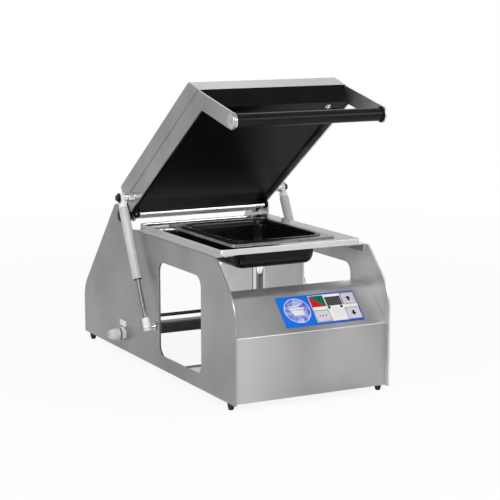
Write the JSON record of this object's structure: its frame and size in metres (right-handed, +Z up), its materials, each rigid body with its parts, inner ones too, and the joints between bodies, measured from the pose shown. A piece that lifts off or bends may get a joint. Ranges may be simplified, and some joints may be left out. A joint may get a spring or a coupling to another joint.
{
  "type": "manual tray sealing machine",
  "caption": "Manual tabletop tray sealer: windowed steel side plates, sloped control housing, tray table, and a hinged heated lid on gas springs with a full-width handle.",
  "frame": {"origin": "on the bench, under the middle of the machine with its lid open", "axes": "+X to the operator's right, +Y towards the back, +Z up"},
  "size_m": [0.347, 0.646, 0.5189],
  "materials": {
    "brushed_stainless": "satin brushed",
    "polished_stainless": "polished sheet",
    "polished_bar": "polished",
    "insert_metal": "fine machined",
    "black_enamel": "gloss black",
    "nonstick_coat": "smooth non-stick coat",
    "tray_plastic": "glossy black",
    "black_grip": "satin black",
    "foot_rubber": "matt",
    "gasket_silicone": "matt",
    "cylinder_paint": "light grey paint",
    "end_fitting": "light grey",
    "gland_plastic": "light grey",
    "overlay_film": "printed film",
    "key_film": "printed film",
    "smoked_window": "clear over dark",
    "circuit_board": "solder mask",
    "core_steel": "varnished laminations",
    "mineral_board": "ceramic fibre felt",
    "label_card": "blank"
  },
  "bodies": {
    "stand": {"side_plate_left": "brushed_stainless", "side_plate_right": "brushed_stainless", "rubber_feet": "foot_rubber", "control_housing": "brushed_stainless", "base_pan": "brushed_stainless", "transformer": "core_steel", "control_overlay": "overlay_film", "display_module": "smoked_window", "control_board": "circuit_board", "table_plate": "polished_stainless", "table_brackets": "brushed_stainless", "table_screws": "polished_bar", "tray_insert": "insert_metal", "sealing_gasket": "gasket_silicone", "tray_pad": "foot_rubber", "tray_column": "polished_bar", "tie_bar": "brushed_stainless", "film_rod": "polished_bar", "hinge_axle": "polished_bar", "axle_caps": "black_enamel", "axle_collars": "polished_bar", "spindle_brackets": "brushed_stainless", "gland_body": "gland_plastic", "gland_nut": "gland_plastic", "gland_locknut": "gland_plastic", "blank_plate": "label_card", "ball_studs": "polished_bar"},
    "lid": {"lid_arm_left": "brushed_stainless", "lid_arm_right": "brushed_stainless", "lid_cover": "brushed_stainless", "heater_pan": "black_enamel", "lid_fascia": "black_enamel", "lid_striker": "polished_bar", "heating_plate": "nonstick_coat", "heating_element": "insert_metal", "insulation_board": "mineral_board", "heat_sensor": "polished_bar", "handle_core": "polished_bar", "handle_grip": "black_grip", "handle_rings": "polished_bar", "hinge_arms": "black_enamel", "hinge_bushes": "polished_bar", "lid_studs": "polished_bar", "stud_nuts": "polished_bar"},
    "tray": {"food_tray": "tray_plastic"},
    "reel": {"reel_spindle": "polished_bar", "reel_discs": "black_grip"},
    "roller": {"film_roller": "polished_bar"},
    "button_start_stop": {"key_start_stop": "key_film"},
    "button_program": {"key_program": "key_film"},
    "button_up": {"key_up": "key_film"},
    "button_down": {"key_down": "key_film"},
    "spring_rod_left": {"ball_socket_left": "end_fitting", "piston_rod_left": "polished_bar"},
    "spring_barrel_left": {"spring_tube_left": "cylinder_paint", "spring_eye_left": "end_fitting"},
    "spring_rod_right": {"ball_socket_right": "end_fitting", "piston_rod_right": "polished_bar"},
    "spring_barrel_right": {"spring_tube_right": "cylinder_paint", "spring_eye_right": "end_fitting"}
  },
  "joints": [
    {"name": "lid_hinge", "type": "hinge", "parent": "stand", "child": "lid", "pos_m": [0, 0.135, 0.262], "axis": [1, 0, 0], "range_deg": [0, 35.1], "stiffness_Nm_per_rad": 18, "springref_deg": -57.3},
    {"name": "spring_swing_left", "type": "hinge", "parent": "stand", "child": "spring_rod_left", "pos_m": [-0.163, -0.019, 0.0855], "axis": [1, 0, 0], "range_deg": [-0.7, 0.6]},
    {"name": "spring_slide_left", "type": "slide", "parent": "spring_rod_left", "child": "spring_barrel_left", "axis": [0, 0.4497, 0.8932], "range_m": [-0.0375, 0.001]},
    {"name": "spring_swing_right", "type": "hinge", "parent": "stand", "child": "spring_rod_right", "pos_m": [0.163, -0.019, 0.0855], "axis": [1, 0, 0], "range_deg": [-0.7, 0.6]},
    {"name": "spring_slide_right", "type": "slide", "parent": "spring_rod_right", "child": "spring_barrel_right", "axis": [0, 0.4497, 0.8932], "range_m": [-0.0375, 0.001]},
    {"name": "roller_spin", "type": "hinge", "parent": "lid", "child": "roller", "pos_m": [0, 0.09315, 0.26941], "axis": [1, 0, 0], "continuous": true},
    {"name": "reel_spin", "type": "hinge", "parent": "stand", "child": "reel", "pos_m": [0, 0.222, 0.176], "axis": [1, 0, 0], "continuous": true},
    {"name": "tray_lift", "type": "slide", "parent": "stand", "child": "tray", "axis": [0, 0, -1], "range_m": [-0.055, 0]},
    {"name": "press_start_stop", "type": "slide", "parent": "stand", "child": "button_start_stop", "axis": [0, 0.7071, -0.7071], "range_m": [0, 0.0006], "stiffness_N_per_m": 300},
    {"name": "press_program", "type": "slide", "parent": "stand", "child": "button_program", "axis": [0, 0.7071, -0.7071], "range_m": [0, 0.0006], "stiffness_N_per_m": 300},
    {"name": "press_up", "type": "slide", "parent": "stand", "child": "button_up", "axis": [0, 0.7071, -0.7071], "range_m": [0, 0.0006], "stiffness_N_per_m": 300},
    {"name": "press_down", "type": "slide", "parent": "stand", "child": "button_down", "axis": [0, 0.7071, -0.7071], "range_m": [0, 0.0006], "stiffness_N_per_m": 300}
  ],
  "couplings": [
    {"joint": "spring_swing_left", "follows": "lid_hinge", "ratio": -0.004},
    {"joint": "spring_slide_left", "follows": "lid_hinge", "m_per_rad": -0.0592},
    {"joint": "spring_swing_right", "follows": "lid_hinge", "ratio": -0.004},
    {"joint": "spring_slide_right", "follows": "lid_hinge", "m_per_rad": -0.0592}
  ]
}
